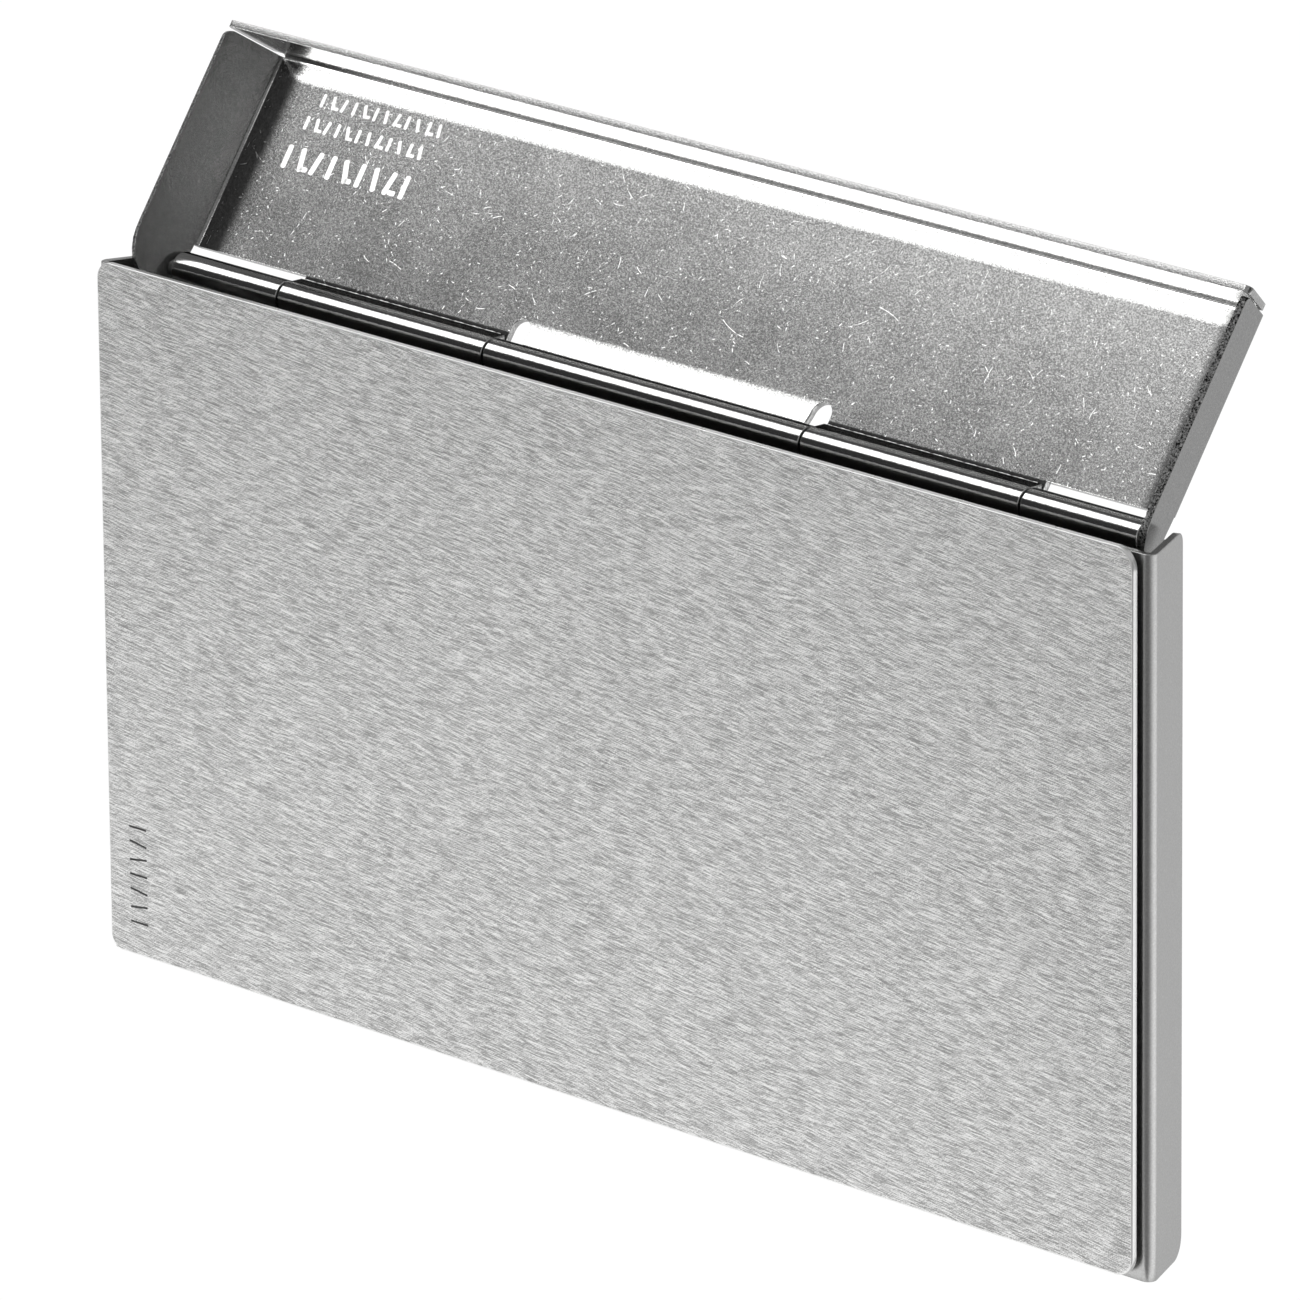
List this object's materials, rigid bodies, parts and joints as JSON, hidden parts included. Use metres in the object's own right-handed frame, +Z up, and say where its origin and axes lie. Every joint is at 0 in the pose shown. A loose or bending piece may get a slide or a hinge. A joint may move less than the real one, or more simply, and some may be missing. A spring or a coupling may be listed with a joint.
{
  "type": "business card case",
  "caption": "Slim folded stainless steel business card case with a proud face plate and a flip-up tray lid on a rolled piano hinge.",
  "frame": {"origin": "middle of the underside of the bottom wall, with the case standing upright and the lid open", "axes": "+X along the hinge, to the right seen from the face plate; +Y to the back; +Z up"},
  "size_m": [0.0974, 0.0154, 0.0645],
  "materials": {
    "face_plate": "random orbital scratch finish",
    "front_channel": "fine satin",
    "back_leaf": "fine satin, polished where rolled",
    "hinge_pin": "polished",
    "lid": "fine matt with small scratches"
  },
  "bodies": {
    "case": {"face_plate": "face_plate", "front_channel": "front_channel", "back_leaf": "back_leaf", "hinge_pin": "hinge_pin"},
    "lid": {"lid": "lid"}
  },
  "joints": [
    {"name": "lid_hinge", "type": "hinge", "parent": "case", "child": "lid", "pos_m": [0, 0.0019, 0.0488], "axis": [1, 0, 0], "range_deg": [0, 35.5]}
  ]
}
